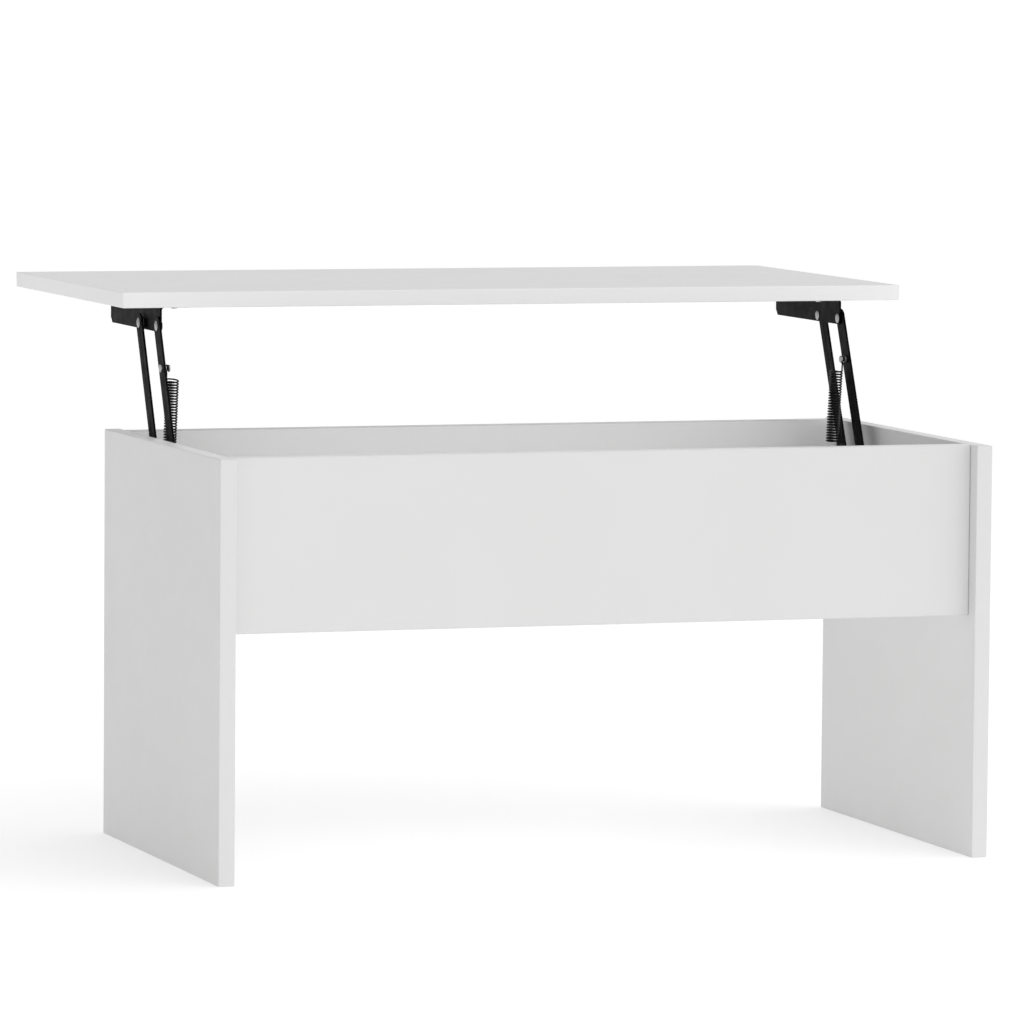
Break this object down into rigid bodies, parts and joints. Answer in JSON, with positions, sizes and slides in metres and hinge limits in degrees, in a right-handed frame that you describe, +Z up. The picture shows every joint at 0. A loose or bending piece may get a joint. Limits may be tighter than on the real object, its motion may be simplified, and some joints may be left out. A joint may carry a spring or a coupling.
{
  "type": "lift top coffee table",
  "caption": "Low rectangular table on two solid side panels, with a storage compartment and a top that lifts forward on spring-assisted arm linkages.",
  "frame": {"origin": "on the floor, midway across the table, under the middle of the opened table's overall depth", "axes": "+Z up, +X across the width, the top moves up and towards +Y as it opens"},
  "size_m": [1.02, 0.859, 0.683],
  "materials": {
    "white_board": "white melamine on particle board, satin",
    "black_steel": "black powder coat, fine texture",
    "rivet_steel": "zinc plated, satin",
    "screw_steel": "zinc plated",
    "spring_steel": "black oiled spring wire",
    "zinc_alloy": "cast, matt",
    "beech": "unfinished fluted beech"
  },
  "bodies": {
    "carcass": {"left_side_panel": "white_board", "right_side_panel": "white_board", "front_panel": "white_board", "back_panel": "white_board", "compartment_floor": "white_board", "left_base_bracket": "black_steel", "left_front_lower_rivet": "rivet_steel", "left_rear_lower_rivet": "rivet_steel", "left_stop_post": "rivet_steel", "left_front_lower_base_screw": "screw_steel", "left_front_upper_base_screw": "screw_steel", "left_rear_lower_base_screw": "screw_steel", "left_rear_upper_base_screw": "screw_steel", "left_front_cam_lock": "zinc_alloy", "left_front_cam_bolt": "zinc_alloy", "left_front_dowel": "beech", "left_back_cam_lock": "zinc_alloy", "left_back_cam_bolt": "zinc_alloy", "left_back_dowel": "beech", "right_base_bracket": "black_steel", "right_front_lower_rivet": "rivet_steel", "right_rear_lower_rivet": "rivet_steel", "right_stop_post": "rivet_steel", "right_front_lower_base_screw": "screw_steel", "right_front_upper_base_screw": "screw_steel", "right_rear_lower_base_screw": "screw_steel", "right_rear_upper_base_screw": "screw_steel", "right_front_cam_lock": "zinc_alloy", "right_front_cam_bolt": "zinc_alloy", "right_front_dowel": "beech", "right_back_cam_lock": "zinc_alloy", "right_back_cam_bolt": "zinc_alloy", "right_back_dowel": "beech"},
    "right_front_arm": {"right_front_arm": "black_steel", "right_spring_peg": "rivet_steel"},
    "top": {"table_top": "white_board", "left_top_bracket": "black_steel", "right_top_bracket": "black_steel", "left_front_upper_rivet": "rivet_steel", "left_rear_upper_rivet": "rivet_steel", "right_front_upper_rivet": "rivet_steel", "right_rear_upper_rivet": "rivet_steel", "left_bracket_screw_1": "screw_steel", "left_bracket_screw_2": "screw_steel", "left_bracket_screw_3": "screw_steel", "left_bracket_screw_4": "screw_steel", "right_bracket_screw_1": "screw_steel", "right_bracket_screw_2": "screw_steel", "right_bracket_screw_3": "screw_steel", "right_bracket_screw_4": "screw_steel"},
    "right_rear_arm": {"right_rear_arm": "black_steel"},
    "left_front_arm": {"left_front_arm": "black_steel", "left_spring_peg": "rivet_steel"},
    "left_rear_arm": {"left_rear_arm": "black_steel"},
    "right_spring": {"right_spring": "spring_steel"},
    "right_spring_hook": {"right_spring_hook": "spring_steel"},
    "left_spring": {"left_spring": "spring_steel"},
    "left_spring_hook": {"left_spring_hook": "spring_steel"}
  },
  "joints": [
    {"name": "lift", "type": "hinge", "parent": "carcass", "child": "right_front_arm", "pos_m": [0.4514, -0.129, 0.40183], "axis": [1, 0, 0], "range_deg": [0, 96.5]},
    {"name": "top_level", "type": "hinge", "parent": "right_front_arm", "child": "top", "pos_m": [0.4514, -0.0225, 0.6388], "axis": [1, 0, 0], "range_deg": [-96.5, 0]},
    {"name": "right_rear_swing", "type": "hinge", "parent": "carcass", "child": "right_rear_arm", "pos_m": [0.4514, -0.0595, 0.40183], "axis": [1, 0, 0], "range_deg": [0, 96.5]},
    {"name": "left_front_swing", "type": "hinge", "parent": "carcass", "child": "left_front_arm", "pos_m": [-0.4514, -0.129, 0.40183], "axis": [1, 0, 0], "range_deg": [0, 96.5]},
    {"name": "left_rear_swing", "type": "hinge", "parent": "carcass", "child": "left_rear_arm", "pos_m": [-0.4514, -0.0595, 0.40183], "axis": [1, 0, 0], "range_deg": [0, 96.5]},
    {"name": "right_spring_swing", "type": "hinge", "parent": "carcass", "child": "right_spring", "pos_m": [0.438, -0.02618, 0.4362], "axis": [1, 0, 0], "range_deg": [0, 77.49]},
    {"name": "right_spring_stretch", "type": "slide", "parent": "right_spring", "child": "right_spring_hook", "axis": [0, -0.1252, 0.9921], "range_m": [0, 0.14554], "deforming": ["right_spring", "right_spring_hook"]},
    {"name": "left_spring_swing", "type": "hinge", "parent": "carcass", "child": "left_spring", "pos_m": [-0.438, -0.02618, 0.4362], "axis": [1, 0, 0], "range_deg": [0, 77.49]},
    {"name": "left_spring_stretch", "type": "slide", "parent": "left_spring", "child": "left_spring_hook", "axis": [0, -0.1252, 0.9921], "range_m": [0, 0.14554], "deforming": ["left_spring", "left_spring_hook"]}
  ],
  "couplings": [
    {"joint": "top_level", "follows": "lift", "ratio": -1},
    {"joint": "right_rear_swing", "follows": "lift", "ratio": 1},
    {"joint": "left_front_swing", "follows": "lift", "ratio": 1},
    {"joint": "left_rear_swing", "follows": "lift", "ratio": 1},
    {"joint": "right_spring_swing", "follows": "lift", "ratio": 0.80298},
    {"joint": "right_spring_stretch", "follows": "lift", "m_per_rad": 0.086408},
    {"joint": "left_spring_swing", "follows": "lift", "ratio": 0.80298},
    {"joint": "left_spring_stretch", "follows": "lift", "m_per_rad": 0.086408}
  ]
}
